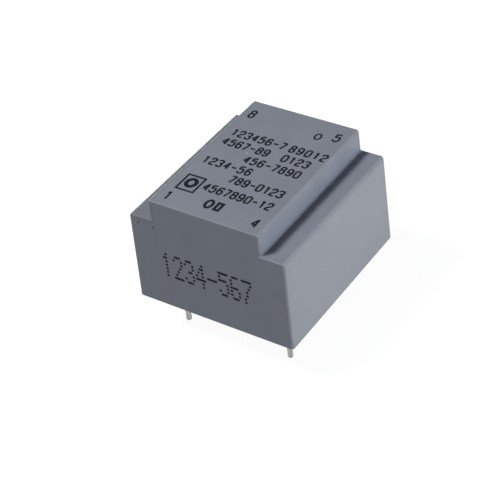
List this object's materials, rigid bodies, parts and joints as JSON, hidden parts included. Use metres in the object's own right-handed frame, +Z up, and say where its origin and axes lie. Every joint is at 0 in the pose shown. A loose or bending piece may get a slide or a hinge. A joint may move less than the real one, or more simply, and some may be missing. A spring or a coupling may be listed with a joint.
{
  "type": "pcb transformer",
  "caption": "Small encapsulated mains transformer for a circuit board: stepped plastic case, potted underside, round solder pins.",
  "frame": {"origin": "centre of the pin grid, in the plane of the case's rim, which seats on the board", "axes": "+X along the pin rows from pin 1 to pin 4, +Y from the primary row to the secondary row, +Z up from the board"},
  "size_m": [0.022, 0.0232, 0.0214],
  "materials": {
    "case": "moulded blue-grey polyester, satin",
    "potting": "cast epoxy, dull",
    "former": "moulded, black",
    "core": "stamped silicon steel sheet",
    "copper": "enamelled copper wire",
    "tape": "polyester film tape",
    "pin": "tinned wire",
    "solder": "tin solder"
  },
  "bodies": {
    "root": {"case": "case", "potting": "potting", "coil_former": "former", "lamination_front_01": "core", "lamination_front_02": "core", "lamination_front_03": "core", "lamination_front_04": "core", "lamination_front_05": "core", "lamination_front_06": "core", "lamination_front_07": "core", "lamination_front_08": "core", "lamination_front_09": "core", "lamination_front_10": "core", "lamination_front_11": "core", "lamination_front_12": "core", "lamination_rear_01": "core", "lamination_rear_02": "core", "lamination_rear_03": "core", "lamination_rear_04": "core", "lamination_rear_05": "core", "lamination_rear_06": "core", "lamination_rear_07": "core", "lamination_rear_08": "core", "lamination_rear_09": "core", "lamination_rear_10": "core", "lamination_rear_11": "core", "lamination_rear_12": "core", "primary_winding": "copper", "secondary_winding": "copper", "primary_tape": "tape", "secondary_tape": "tape", "pin_1": "pin", "solder_1": "solder", "lead_1": "copper", "pin_4": "pin", "solder_4": "solder", "lead_4": "copper", "pin_6": "pin", "solder_6": "solder", "lead_6": "copper", "pin_7": "pin", "solder_7": "solder", "lead_7": "copper"}
  },
  "joints": []
}
